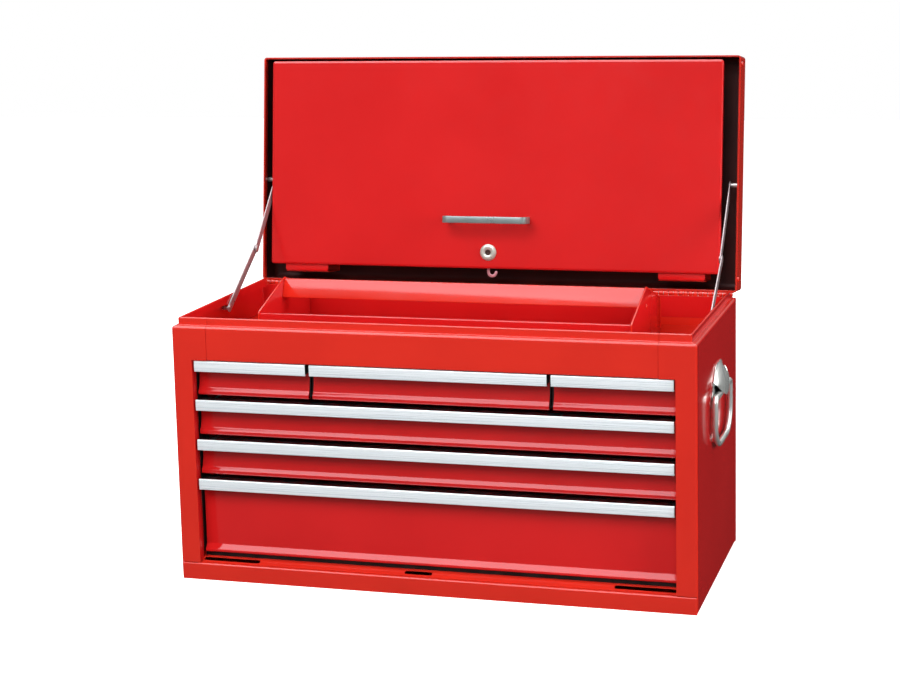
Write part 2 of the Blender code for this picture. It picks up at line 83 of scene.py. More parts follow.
# ---------------------------------------------------------------- sizes of the fine work
SHEET = 0.001
SEAM = 0.0003               # clearance between pieces that lie together
RIM_HEIGHT = 0.010          # the folded rim, above the shoulder that the lid comes down to
RIM_INSET = 0.0068
RIM_HEM = 0.0032            # the folded rim's thickness
SHOULDER = RIM_TOP - RIM_HEIGHT
SHOULDER_RADIUS = 0.004
CORNER = 0.003              # the case's upright front corners
BOTTOM_RAIL = 0.0218
OPENING_X = 0.3045          # half the drawers' opening
BACK_WRAP = 0.009           # the back panel is folded round the sides by this much
LID_HEIGHT = 0.049
LID_LOW = -0.001            # the lid's edge, from the hinge line
LID_RADIUS = 0.009
COVER_FOOT = 0.026          # the stowed cover's lower edge, from the hinge line
COVER_FACE = -0.007         # the cover's face, from the hinge line
COVER_RETURN = 0.007        # depth of the cover's folded sides
COVER_HEIGHT = 0.279
COVER_X = -0.0035           # the cover lies this much off the middle
TAB_X = 0.261               # middle of a cover's tab
TAB_HALF = 0.031
TRIM_REACH = 0.0165         # from a trim's front to the drawer's face behind it
SPLIT_EASE = 0.0009         # the small drawers stand this much clear of each other, each side
KNUCKLE_PITCH = 0.0065
KNUCKLE_RADIUS = 0.003
STAY_LENGTH = 0.1175        # from pivot to pivot of one link
STAY_HALF = 0.0055          # half a link's width
STAY_SHEET = 0.0015
STAY_X = {"lower": 0.3180, "upper": 0.3162}     # the links' inner faces, from the middle

X_AXIS, Y_AXIS, Z_AXIS = 0, 1, 2


# ---------------------------------------------------------------- materials
def shader_of(name):
    """A new material, its node tree and its Principled shader."""
    made = bpy.data.materials.new(name)
    made.use_nodes = True
    tree = made.node_tree
    return made, tree, tree.nodes["Principled BSDF"]


def noise(tree, scale, detail=2.0, stretch=(1, 1, 1)):
    """A noise pattern fixed to the piece."""
    place = tree.nodes.new("ShaderNodeTexCoord")
    mapping = tree.nodes.new("ShaderNodeMapping")
    mapping.inputs["Scale"].default_value = stretch
    texture = tree.nodes.new("ShaderNodeTexNoise")
    texture.inputs["Scale"].default_value = scale
    texture.inputs["Detail"].default_value = detail
    tree.links.new(place.outputs["Object"], mapping.inputs["Vector"])
    tree.links.new(mapping.outputs["Vector"], texture.inputs["Vector"])
    return texture.outputs["Fac"]


def spread(tree, value, low, high):
    """Map a pattern's middle range to low ... high."""
    ranged = tree.nodes.new("ShaderNodeMapRange")
    ranged.inputs["From Min"].default_value = 0.3
    ranged.inputs["From Max"].default_value = 0.7
    ranged.inputs["To Min"].default_value = low
    ranged.inputs["To Max"].default_value = high
    tree.links.new(value, ranged.inputs["Value"])
    return ranged.outputs["Result"]


def tint(tree, shader, value, dark, light):
    """Colour the shader between two colours by a pattern."""
    mix = tree.nodes.new("ShaderNodeMix")
    mix.data_type = "RGBA"
    mix.inputs["A"].default_value = (*dark, 1)
    mix.inputs["B"].default_value = (*light, 1)
    tree.links.new(spread(tree, value, 0, 1), mix.inputs["Factor"])
    tree.links.new(mix.outputs["Result"], shader.inputs["Base Color"])


def bump(tree, shader, value, strength, height):
    """Raise the surface by a pattern."""
    node = tree.nodes.new("ShaderNodeBump")
    node.inputs["Strength"].default_value = strength
    node.inputs["Distance"].default_value = height
    tree.links.new(value, node.inputs["Height"])
    tree.links.new(node.outputs["Normal"], shader.inputs["Normal"])


def enamel(name, dark, light):
    """Baked gloss enamel: faint mottling and the orange peel of sprayed paint."""
    made, tree, shader = shader_of(name)
    shader.inputs["IOR"].default_value = 1.46
    tint(tree, shader, noise(tree, 7, 3), dark, light)
    tree.links.new(spread(tree, noise(tree, 40, 2), 0.07, 0.13), shader.inputs["Roughness"])
    bump(tree, shader, noise(tree, 380, 2), 0.06, 0.0002)
    return made


def lid_shade_enamel():
    """A thin near-black coat inside the lid: painted shade where the open lid's inside lies in shade."""
    made, tree, shader = shader_of("lid_shade_enamel")
    tint(tree, shader, noise(tree, 12, 3), (0.042, 0.006, 0.005), (0.066, 0.009, 0.008))
    tree.links.new(spread(tree, noise(tree, 60, 2), 0.35, 0.50), shader.inputs["Roughness"])
    shader.inputs["Specular IOR Level"].default_value = 0.18
    bump(tree, shader, noise(tree, 380, 2), 0.08, 0.0002)
    return made


def brushed_aluminium():
    """Extruded aluminium with fine brushed lines along the trim."""
    made, tree, shader = shader_of("brushed_aluminium")
    shader.inputs["Metallic"].default_value = 0.3
    lines = noise(tree, 60, 4, (0.10, 34, 34))
    tint(tree, shader, lines, (0.80, 0.89, 0.94), (0.95, 0.98, 1.0))
    tree.links.new(spread(tree, lines, 0.24, 0.36), shader.inputs["Roughness"])
    bump(tree, shader, lines, 0.15, 0.0002)
    return made


def shaded_aluminium():
    """A darker, mirror-like copy of the trims' aluminium for the tops of the trims: painted shade."""
    made, tree, shader = shader_of("shaded_aluminium")
    shader.inputs["Metallic"].default_value = 1
    tint(tree, shader, noise(tree, 60, 3, (0.10, 20, 20)), (0.50, 0.51, 0.53), (0.60, 0.61, 0.63))
    tree.links.new(spread(tree, noise(tree, 90, 2), 0.16, 0.26), shader.inputs["Roughness"])
    return made


def chrome():
    """Soft chrome plate with faint smears."""
    made, tree, shader = shader_of("chrome")
    shader.inputs["Metallic"].default_value = 0.62
    tint(tree, shader, noise(tree, 30, 2), (0.62, 0.65, 0.63), (0.74, 0.76, 0.73))
    tree.links.new(spread(tree, noise(tree, 90, 3), 0.18, 0.26), shader.inputs["Roughness"])
    return made


def satin_plate(name, dark, light):
    """The soft plating of the small fittings."""
    made, tree, shader = shader_of(name)
    shader.inputs["Metallic"].default_value = 0.45
    tint(tree, shader, noise(tree, 14, 2), dark, light)
    tree.links.new(spread(tree, noise(tree, 60, 2), 0.26, 0.36), shader.inputs["Roughness"])
    return made


def zinc_steel():
    """Bright zinc plate: a softly mottled, slightly milky metal."""
    made, tree, shader = shader_of("zinc_steel")
    shader.inputs["Metallic"].default_value = 0.75
    tint(tree, shader, noise(tree, 28, 2), (0.42, 0.41, 0.40), (0.52, 0.51, 0.49))
    tree.links.new(spread(tree, noise(tree, 50, 2), 0.26, 0.34), shader.inputs["Roughness"])
    bump(tree, shader, noise(tree, 300, 2), 0.02, 0.0001)
    return made


def black_steel():
    """Oiled dark steel of the inner rails; also painted shade on the dark pieces set in the case's gaps and the
    handles' hollows.
    """
    made, tree, shader = shader_of("black_steel")
    shader.inputs["Metallic"].default_value = 0.6
    tint(tree, shader, noise(tree, 90, 2), (0.010, 0.010, 0.010), (0.024, 0.022, 0.021))
    shader.inputs["Roughness"].default_value = 0.5
    bump(tree, shader, noise(tree, 500, 2), 0.1, 0.0001)
    return made


def dark_plug():
    """The lock's recessed plug: dark brown, dull."""
    made, tree, shader = shader_of("dark_plug")
    shader.inputs["Metallic"].default_value = 0.4
    tint(tree, shader, noise(tree, 300, 2), (0.045, 0.022, 0.016), (0.080, 0.045, 0.035))
    shader.inputs["Roughness"].default_value = 0.45
    return made


FINISHES = {
    "red_enamel": enamel("red_enamel", (0.60, 0.0190, 0.0095), (0.66, 0.0230, 0.0110)),
    "brushed_aluminium": brushed_aluminium(),
    "chrome": chrome(),
    "zinc_steel": zinc_steel(),
    "black_steel": black_steel(),
}
SHADED_ENAMEL = enamel("shaded_enamel", (0.54, 0.0090, 0.0095), (0.59, 0.0115, 0.0120))       # inner panels, a deeper red: a darker copy of the red enamel, painted shade
LID_SHADE_ENAMEL = lid_shade_enamel()
SHADED_ALUMINIUM = shaded_aluminium()
GREY_PLATE = satin_plate("grey_plate", (0.20, 0.27, 0.27), (0.27, 0.34, 0.33))
PALE_PLATE = satin_plate("pale_plate", (0.50, 0.53, 0.47), (0.60, 0.62, 0.56))
# pink-tinted plate for the lock's hook: painted reflection of the red paint
PINK_REFLECTION_PLATE = satin_plate("pink_reflection_plate", (0.58, 0.26, 0.30), (0.68, 0.34, 0.37))
# darker, faintly red-tinted plate for the stays' links: painted reflection of the dark lid and red paint
DARK_REFLECTION_PLATE = satin_plate("dark_reflection_plate", (0.27, 0.23, 0.24), (0.35, 0.30, 0.31))
SHADED_SHALLOW_ENAMEL = enamel("shaded_shallow_enamel", (0.46, 0.0080, 0.0085), (0.51, 0.0100, 0.0105))   # shallow drawers' faces: a still darker copy, painted shade under the trims
PLUG = dark_plug()


# ---------------------------------------------------------------- outlines
def arc(center, radius, start, end, steps):
    """Points on an arc, angles in degrees."""
    angles = [radians(start + (end - start) * i / steps) for i in range(steps + 1)]
    return [(center[0] + radius * cos(a), center[1] + radius * sin(a)) for a in angles]


def circle(center, radius, sides):
    """Corners of a many-sided circle."""
    return arc(center, radius, 0, 360 * (sides - 1) / sides, sides - 1)


def rounded(points, radii, steps=5, closed=True):
    """Round an outline's corners; radii is one number, or one for each corner that can be rounded."""
    count = len(points)
    inner = range(count) if closed else range(1, count - 1)
    if not isinstance(radii, (list, tuple)):
        radii = [radii] * len(inner)
    made = [] if closed else [tuple(points[0])]
    for i, radius in zip(inner, radii):
        corner = Vector(points[i])
        if radius == 0:
            made.append(tuple(corner))
            continue
        before = (Vector(points[i - 1]) - corner).normalized()
        after = (Vector(points[(i + 1) % count]) - corner).normalized()
        half = acos(max(-1, min(1, before.dot(after)))) / 2
        middle = corner + (before + after).normalized() * (radius / sin(half))
        start = corner + before * (radius / tan(half)) - middle
        turn = pi - 2 * half
        if before.x * after.y - before.y * after.x > 0:
            turn = -turn
        first = atan2(start.y, start.x)
        for k in range(steps + 1):
            angle = first + turn * k / steps
            made.append((middle.x + radius * cos(angle), middle.y + radius * sin(angle)))
    if not closed:
        made.append(tuple(points[-1]))
    return made


def strip(path, thickness):
    """Outline of a bent sheet: one face follows path, the other lies thickness to its left."""
    normals = []
    for (x0, y0), (x1, y1) in zip(path, path[1:]):
        length = hypot(x1 - x0, y1 - y0)
        normals.append(Vector((-(y1 - y0) / length, (x1 - x0) / length)))
    offset = []
    for point, a, b in zip(path, [normals[0]] + normals, normals + [normals[-1]]):
        shift = (a + b) * (thickness / (1 + a.dot(b)))
        offset.append((point[0] + shift.x, point[1] + shift.y))
    return list(path) + offset[::-1]


def bent(points, radii, thickness, steps=5):
    """Outline of a sheet bent to points with rounded bends; thickness lies to its left."""
    return strip(rounded(points, radii, steps, closed=False), thickness)


def rectangle(x0, y0, x1, y1, radius, steps=6):
    """Outline of a rectangle with rounded corners."""
    return rounded([(x0, y0), (x1, y0), (x1, y1), (x0, y1)], radius, steps)


# ---------------------------------------------------------------- solids
def prism(outline, axis, start, end, bm=None):
    """Extrude a closed outline along axis; its points are (y, z), (x, z) or (x, y)."""
    bm = bm or bmesh.new()
    u, v = [i for i in range(3) if i != axis]
    corners = []
    for point in outline:
        co = [0.0, 0.0, 0.0]
        co[axis], co[u], co[v] = start, point[0], point[1]
        corners.append(bm.verts.new(co))
    face = bm.faces.new(corners)
    made = bmesh.ops.extrude_face_region(bm, geom=[face])["geom"]
    shift = Vector((0, 0, 0))
    shift[axis] = end - start
    moved = [item for item in made if isinstance(item, bmesh.types.BMVert)]
    bmesh.ops.translate(bm, verts=moved, vec=shift)
    return bm


def box(low, high, bm=None):
    """A block between two corners."""
    outline = [(low[0], low[1]), (high[0], low[1]), (high[0], high[1]), (low[0], high[1])]
    return prism(outline, Z_AXIS, low[2], high[2], bm)


def ring_faces(bm, near, far):
    """Join two rings of vertices with a band of faces."""
    for i in range(len(near)):
        j = (i + 1) % len(near)
        bm.faces.new((near[i], near[j], far[j], far[i]))


def loft(levels):
    """Rings of vertices for (outline, height) levels, in a new bmesh."""
    bm = bmesh.new()
    return bm, [[bm.verts.new((x, y, z)) for x, y in outline] for outline, z in levels]


def lathe(profile, place, sides=28, bm=None):
    """Turn (radius, height) points about place's own Z; the ends close on the axis."""
    bm = bm or bmesh.new()
    rings = []
    for radius, height in profile:
        if radius == 0:
            rings.append([bm.verts.new(place @ Vector((0, 0, height)))])
            continue
        turns = [2 * pi * k / sides for k in range(sides)]
        rings.append([bm.verts.new(place @ Vector((radius * cos(a), radius * sin(a), height))) for a in turns])
    for near, far in zip(rings, rings[1:]):
        for k in range(sides):
            m = (k + 1) % sides
            ring = [near[k % len(near)], near[m % len(near)], far[m % len(far)], far[k % len(far)]]
            bm.faces.new(list(dict.fromkeys(ring)))
    return bm


def rivet(bm, point, direction, radius=0.0032, height=0.0014):
    """A domed rivet head that stands on point."""
    place = Matrix.Translation(point) @ Vector(direction).to_track_quat("Z", "Y").to_matrix().to_4x4()
    rim, dome = 0.25, [(0, 0), (radius, 0)]
    for angle in (0, 20, 40, 60, 78):
        a = radians(angle)
        dome.append((radius * cos(a), height * (rim + (1 - rim) * sin(a))))
    return lathe(dome + [(0, height)], place, 18, bm)


def rod(name, points, radius, closed=False):
    """A draft of a round rod, or a rolled bead, along a line of points."""
    curve = bpy.data.curves.new(name, "CURVE")
    curve.dimensions = "3D"
    curve.bevel_depth = radius
    curve.bevel_resolution = 5
    curve.use_fill_caps = not closed
    spline = curve.splines.new("POLY")
    spline.points.add(len(points) - 1)
    for point, co in zip(spline.points, points):
        point.co = (*co, 1)
    spline.use_cyclic_u = closed
    holder = bpy.data.objects.new(name, curve)
    bpy.context.scene.collection.objects.link(holder)
    mesh = bpy.data.meshes.new_from_object(holder.evaluated_get(bpy.context.evaluated_depsgraph_get()))
    bpy.data.objects.remove(holder, do_unlink=True)
    piece = bpy.data.objects.new(name, mesh)
    bpy.context.scene.collection.objects.link(piece)
    return piece


def cut(piece, bm, operation="DIFFERENCE"):
    """Cut a shape from a piece with a Boolean; build() applies it."""
    bmesh.ops.recalc_face_normals(bm, faces=bm.faces)
    mesh = bpy.data.meshes.new("tool")
    bm.to_mesh(mesh)
    bm.free()
    tool = bpy.data.objects.new("tool", mesh)
    bpy.context.scene.collection.objects.link(tool)
    step = piece.modifiers.new(operation.title(), "BOOLEAN")
    step.operation = operation
    step.solver = "EXACT"
    step.object = tool
    return piece


def draft(name, bm, place=None):
    """An object from a bmesh, moved by a matrix, with nothing decided about its finish yet."""
    bmesh.ops.remove_doubles(bm, verts=bm.verts, dist=1e-6)
    bmesh.ops.dissolve_degenerate(bm, edges=bm.edges, dist=1e-7)
    bmesh.ops.recalc_face_normals(bm, faces=bm.faces)
    mesh = bpy.data.meshes.new(name)
    bm.to_mesh(mesh)
    bm.free()
    if place is not None:
        mesh.transform(place)
    piece = bpy.data.objects.new(name, mesh)
    bpy.context.scene.collection.objects.link(piece)
    return piece


def build(piece, body, slot, replaces=(), edge=0.00025, material=None, sharp=38, broad=False):
    """Apply a draft's modifiers, soften its edges, shade it, and hang it on a body.

    A broad sheet keeps its flats truly flat beside its rounded edges.
    """
    if edge:
        bevel = piece.modifiers.new("Edges", "BEVEL")
        bevel.width = edge
        bevel.segments = 2
        bevel.limit_method = "ANGLE"
        bevel.angle_limit = radians(40)
    tools = [step.object for step in piece.modifiers if step.type == "BOOLEAN"]
    seen = piece.evaluated_get(bpy.context.evaluated_depsgraph_get())
    mesh = bpy.data.meshes.new_from_object(seen)
    piece.modifiers.clear()
    piece.data = mesh
    for tool in tools:
        bpy.data.objects.remove(tool, do_unlink=True)
    mesh.materials.clear()
    mesh.materials.append(material or FINISHES[slot])
    mesh.shade_smooth()
    mesh.set_sharp_from_angle(angle=radians(sharp))
    if broad:
        level = piece.modifiers.new("Normals", "WEIGHTED_NORMAL")
        level.keep_sharp = True
        seen = piece.evaluated_get(bpy.context.evaluated_depsgraph_get())
        piece.data = bpy.data.meshes.new_from_object(seen)
        piece.modifiers.clear()
    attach(piece, body)
    if replaces:
        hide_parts(*replaces)
    return piece


# ---------------------------------------------------------------- case
def rim_profile():
    """Outline (inset, z) of the outer sheet from the shoulder over the folded rim and back inside, rounded."""
    points = [(SHEET, 0), (0, 0), (0, SHOULDER), (RIM_INSET, SHOULDER), (RIM_INSET, RIM_TOP)]
    points += [(RIM_INSET + RIM_HEM, RIM_TOP), (RIM_INSET + RIM_HEM, SHOULDER - SHEET), (SHEET, SHOULDER - SHEET)]
    return rounded(points, [0, 0, SHOULDER_RADIUS, 0.0010, 0.00155, 0.00155, 0, 0.003], 6)[2:]


def side_panels():
    """Side wall and front stile in one sheet, swept round the corner."""
    bends = [radians(a) for a in range(0, 91, 15)]
    for word, side in (("left", -1), ("right", 1)):
        fold = 0.0035
        profile = [(SHEET, fold), (SHEET + 0.003, SHEET), (SHEET + 0.004, SHEET), (SHEET + 0.004, 0)]
        profile += arc((fold, fold), fold, 270, 180, 5) + rim_profile()
        stations = [[(side * (SIDE - d), BACK - BACK_WRAP - SEAM, z) for d, z in profile]]
        for bend in bends:
            ring = []
            for d, z in profile:
                reach = max(CORNER, d + 0.001)
                radius = reach - d
                ring.append((side * (SIDE - reach + radius * cos(bend)), FRONT + reach - radius * sin(bend), z))
            stations.append(ring)
        stations.append([(side * STILE_HEAD_X, FRONT + d, z) for d, z in profile])
        bm = bmesh.new()
        rings = [[bm.verts.new(co) for co in station] for station in stations]
        for near, far in zip(rings, rings[1:]):
            ring_faces(bm, near, far)
        bm.faces.new(rings[0])
        bm.faces.new(rings[-1])
        panel = draft(word + "_side_skin", bm)
        beyond = SIDE + 0.05
        rail_top = BOTTOM_RAIL + 0.0004
        opening = [(-OPENING_X, OPENING_TOP), (OPENING_X, OPENING_TOP), (OPENING_X, rail_top), (beyond, rail_top)]
        opening += [(beyond, -0.01), (-beyond, -0.01), (-beyond, rail_top), (-OPENING_X, rail_top)]
        cut(panel, prism(opening, Y_AXIS, FRONT - 0.05, FRONT + SHEET + SEAM))
        build(panel, "case", "red_enamel", [word + "_side_panel"], broad=True)
        panel.data.materials.append(SHADED_ENAMEL)       # on the wall alone, behind the stile: painted shade on the side
        for face in panel.data.polygons:
            face.material_index = int(abs(face.normal.x) > 0.9 and face.center.y > FRONT + CORNER)

        rim = box((side * (SIDE - RIM_INSET), BACK - BACK_WRAP - 0.0005, SHOULDER - SHEET),
                  (side * (SIDE - RIM_INSET - RIM_HEM), BACK - 0.0045, RIM_TOP))
        build(draft(word + "_rim_end", rim), "case", "red_enamel", edge=0.0012)


def back_panel():
    """The back is one sheet folded round both sides."""
    tall = SHOULDER - 0.0005
    plan = [(SIDE, BACK - BACK_WRAP), (SIDE, BACK), (-SIDE, BACK), (-SIDE, BACK - BACK_WRAP)]
    bm = prism(bent(plan, CORNER, SHEET, 6), Z_AXIS, 0.0005, tall)
    skin = draft("back_skin", bm)
    # the back in the darker enamel: painted shade
    build(skin, "case", "red_enamel", ["back_panel"], edge=0.0004, material=SHADED_ENAMEL, broad=True)


def rails():
    """Top rail, and the bottom rail with its rounded lip and slotted ledge."""
    reach = 0.015
    points = [(reach, OPENING_TOP), (0, OPENING_TOP), (0, SHOULDER), (RIM_INSET, SHOULDER), (RIM_INSET, RIM_TOP)]
    points += [(RIM_INSET + RIM_HEM, RIM_TOP), (RIM_INSET + RIM_HEM, SHOULDER - SHEET)]
    points += [(SHEET, SHOULDER - SHEET), (SHEET, OPENING_TOP + SHEET), (reach, OPENING_TOP + SHEET)]
    radii = [0, 0.0016, SHOULDER_RADIUS, 0.0010, 0.00155, 0.00155, 0, 0.003, 0.0006, 0]
    outline = [(FRONT + y, z) for y, z in rounded(points, radii, 6)]
    end = STILE_HEAD_X - 0.0004
    build(draft("top_rail_skin", prism(outline, X_AXIS, -end, end)), "case", "red_enamel", ["top_rail"], broad=True)

    ledge = [(FRONT, 0), (FRONT, BOTTOM_RAIL), (FRONT + 0.0062, BOTTOM_RAIL), (FRONT + 0.0140, 0.0262)]
    ledge += [(FRONT + 0.0210, 0.0266), (FRONT + 0.0260, LEDGE_TOP), (FRONT + 0.034, LEDGE_TOP)]
    sheet = bent(ledge, [0.003, 0.0016, 0.002, 0.0016, 0.0018], -SHEET, 7)
    rail = draft("bottom_rail_skin", prism(sheet, X_AXIS, -SIDE, SIDE))
    slots = bmesh.new()
    for start, end in ((-0.303, -0.228), (-0.036, -0.001), (0.228, 0.303)):
        slot = rectangle(start, FRONT + 0.0085, end, FRONT + 0.0145, 0.002, 4)
        prism(slot, Z_AXIS, 0.015, 0.040, slots)
    for side in (-1, 1):
        box((side * (SIDE - SHEET - SEAM), FRONT + SHEET + 0.0001, -0.01),
            (side * (SIDE + 0.01), FRONT + 0.05, 0.05), slots)
    cut(rail, slots)
    plan = rounded([(-SIDE, FRONT), (SIDE, FRONT), (SIDE, 0), (-SIDE, 0)], [CORNER, CORNER, 0, 0], 7)
    cut(rail, prism(plan, Z_AXIS, -0.01, 0.1), "INTERSECT")
    build(rail, "case", "red_enamel", ["bottom_rail"], broad=True)
    gap_shade_strips()


def gap_shade_strips():
    """The opening's folded sides, and dark strips of painted shade behind its gaps."""
    # a black strip behind the sill's gap: painted shade
    sill = box((-OPENING_X, FRONT + 0.0195, 0.0262), (OPENING_X, FRONT + 0.0235, 0.0314))
    build(draft("sill_shade_strip", sill), "case", "black_steel", edge=0.0004)
    for word, side in (("left", -1), ("right", 1)):
        fold = box((side * OPENING_X, FRONT + SHEET, BOTTOM_RAIL + 0.002),
                   (side * (OPENING_X + SHEET), FRONT + 0.0135, OPENING_TOP))
        # the stile's fold into the opening in the darker enamel: painted shade
        build(draft(word + "_stile_fold", fold), "case", "red_enamel", edge=0.0003, material=SHADED_ENAMEL)
        # a black strip behind each stile's reveal: painted shade
        shade_strip = box((side * (OPENING_X + 0.0001), FRONT + 0.0140, LEDGE_TOP + 0.001),
                   (side * (OPENING_X + 0.004), FRONT + 0.045, OPENING_TOP + 0.008))
        build(draft(word + "_stile_shade_strip", shade_strip), "case", "black_steel", edge=0.0004)


# ---------------------------------------------------------------- drawers
def divider_edge_shades():
    """Dark strips on the dividers' front edges, behind the gaps between the small drawers: painted shade in the gaps.
    """
    for word in ("left", "right"):
        low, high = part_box("row_divider_" + word)
        middle, front = (low.x + high.x) / 2, low.y
        edge_shade = rectangle(middle - 0.0010, front - 0.0040, middle + 0.0010, front - 0.0002, 0.0006, 4)
        strip_up = prism(edge_shade, Z_AXIS, low.z + 0.003, high.z - 0.003)
        build(draft("divider_%s_nose" % word, strip_up), "case", "black_steel")


def drawer(name, deep):
    """A drawer's face with its flare and roll, its pan, and the trim across its top edge."""
    low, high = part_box(name + "_trim")
    pan_low, pan_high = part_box(name + "_box")
    top, front, base = high.z, low.y, pan_low.z
    upper = front + TRIM_REACH
    pan_left, pan_right = pan_ends(name)
    for word, end, inward, pan_end in (("left", low, 1, pan_left), ("right", high, -1, pan_right)):
        if abs(end.x) < 0.2:            # an end beside another small drawer
            end.x += inward * SPLIT_EASE
            # black blocks at the facing ends, on the trim and behind the face: painted shade in the gap between the
            # small drawers
            end_shade = box((end.x + inward * 0.0004, front + 0.0018, low.z + 0.0016),
                      (end.x + inward * 0.0024, upper - 0.0003, top - 0.0017))
            box((end.x + inward * 0.0010, upper + 0.0001, base + 0.0004),
                (pan_end - inward * 0.0001, upper + 0.0050, top - 0.0055), end_shade)
            build(draft("%s_%s_cap" % (name, word), end_shade), name, "black_steel", edge=0.0003)
    if deep:
        face = [(0, -0.002, top), (0, 0.0087, base), (-0.0045, 0.0017, base)]
        face += [(-0.0045, -0.0015, base), (0.004, -0.0015, base)]
        # the deep drawer's face in the darker enamel: painted shade
        radii, paint = [0.0030, 0.0025, 0.0016], SHADED_ENAMEL
    else:
        face = [(0, -0.002, top), (0, 0.0185, base), (-0.0030, 0.0075, base), (-0.0062, 0.0035, base)]
        face += [(-0.0062, -0.0014, base), (0.004, -0.0014, base)]
        # the shallow faces in the still darker enamel: painted shade under the trims
        radii, paint = [0.0300, 0.0060, 0.0018, 0.0020], SHADED_SHALLOW_ENAMEL
    face = [(upper + y, level + z) for y, z, level in face]
    skin = prism(bent(face, radii, SHEET, 8), X_AXIS, low.x, high.x)
    build(draft(name + "_face", skin), name, "red_enamel", [name + "_box"], material=paint)

    pan = open_box((pan_left, upper + 0.0004, base + 0.0005), (pan_right, pan_high.y, top - 0.006), SHEET, 0.002)
    # the pan in the darker enamel: painted shade
    build(draft(name + "_pan", pan), name, "red_enamel", [name + "_box"], edge=0.0003, material=SHADED_ENAMEL)
    trim(name, low, high)


def pan_ends(name):
    """How far a drawer's pan reaches to each side, read from the CAD pan's rear wall."""
    vertices = frame["nodes"][name + "_box"].data.vertices
    rear = max(v.co.y for v in vertices) - 0.0005
    ends = [v.co.x for v in vertices if v.co.y > rear]
    return min(ends), max(ends)


def open_box(low, high, wall, radius):
    """A pan with rounded upright corners."""
    outer = rectangle(low[0], low[1], high[0], high[1], radius, 4)
    inner = rectangle(low[0] + wall, low[1] + wall, high[0] - wall, high[1] - wall, max(radius - wall, 0.0005), 4)
    bm, rings = loft([(outer, low[2]), (outer, high[2]), (inner, high[2]), (inner, low[2] + wall)])
    for near, far in zip(rings, rings[1:]):
        ring_faces(bm, near, far)
    bm.faces.new(rings[0])
    bm.faces.new(rings[-1])
    return bm


def trim(name, low, high):
    """Extruded aluminium: a hook with a rounded top edge and a slight step along its front."""
    thick, step = 0.0015, 0.0003
    front, top, foot = low.y, high.z, low.z
    crease = top - (top - foot) * 0.68
    seam = front + 0.0020
    hook = [(seam, top), (front, top), (front, crease), (front + step, crease - 0.0006), (front + step, foot)]
    hook += [(front + 0.004, foot), (front + 0.004, foot + thick), (front + thick, foot + thick)]
    hook += [(front + thick, top - thick), (seam, top - thick)]
    hook = rounded(hook, [0, 0.0014, 0.0003, 0.0003, 0.0010, 0.0004, 0.0003, 0.0003, 0, 0], 5)
    pull = draft(name + "_pull", prism(hook, X_AXIS, low.x, high.x))
    build(pull, name, "brushed_aluminium", [name + "_trim"], edge=0.0002)
    # the trim's top in the darker aluminium: painted shade
    flange = box((low.x, seam, top - thick), (high.x, high.y, top - 0.0001))
    build(draft(name + "_flange", flange), name, "brushed_aluminium", [name + "_trim"], edge=0, material=SHADED_ALUMINIUM)


# ---------------------------------------------------------------- tote tray
def tray():
    """A folded pan between two gabled plates, with a ridge to lift it by."""
    low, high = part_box("tray_pan")
    ridge_low, ridge_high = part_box("tray_handle")
    front, back, floor, wall = low.y, high.y, low.z, high.z
    hem, lip, flat = 0.005, 0.0022, 0.0022
    middle = (ridge_low.y + ridge_high.y) / 2
    pan = [(front + hem, wall - lip), (front + hem, wall), (front, wall), (front, floor)]
    pan += [(back, floor), (back, wall), (back - hem, wall), (back - hem, wall - lip)]
    skin = prism(bent(pan, [0.0006, 0.0012, 0.003, 0.003, 0.0012, 0.0006], SHEET, 6), X_AXIS, low.x, high.x)
    # tray pan and end plates in the darker enamel: painted shade
    build(draft("tray_skin", skin), "tray", "red_enamel", ["tray_pan"], material=SHADED_ENAMEL)

    for word, side in (("left", -1), ("right", 1)):
        plate_low, plate_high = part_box("tray_end_" + word)
        peak = plate_high.z
        gable = [(plate_low.y, floor), (plate_high.y, floor), (plate_high.y, wall + 0.001)]
        gable += [(middle + flat, peak), (middle - flat, peak), (plate_low.y, wall + 0.001)]
        gable = rounded(gable, [0.002, 0.002, 0.004, 0.003, 0.003, 0.004], 5)
        plate = draft("tray_%s_plate" % word, prism(gable, X_AXIS, plate_low.x, plate_high.x))
        build(plate, "tray", "red_enamel", ["tray_end_" + word], material=SHADED_ENAMEL)
        upper = sorted((y, z) for y, z in gable if z > floor + 0.01)
        roll = [(plate_low.y, floor + 0.005)] + upper + [(plate_high.y, floor + 0.005)]
        middle_x = (plate_low.x + plate_high.x) / 2
        bead = rod("tray_%s_roll" % word, [(middle_x, y, z) for y, z in roll], 0.0011)
        build(bead, "tray", "red_enamel", edge=0, sharp=60)
        outer_x = plate_high.x if side > 0 else plate_low.x
        head = rivet(bmesh.new(), (outer_x, middle, peak - 0.024), (side, 0, 0), 0.0030, 0.0012)
        build(draft("tray_%s_rivet" % word, head), "tray", "red_enamel", edge=0)

    base, peak = ridge_low.z, ridge_high.z
    flare = (ridge_high.y - ridge_low.y) / 2
    ridge = [(middle - flare + 0.004, base + 0.0012), (middle - flare, base), (middle - flat, peak)]
    ridge += [(middle + flat, peak), (middle + flare, base), (middle + flare - 0.004, base + 0.0012)]
    channel = prism(bent(ridge, [0.0012, 0.0020, 0.0020, 0.0012], -SHEET, 6), X_AXIS, low.x, high.x)
    build(draft("tray_ridge", channel), "tray", "red_enamel", ["tray_handle"])


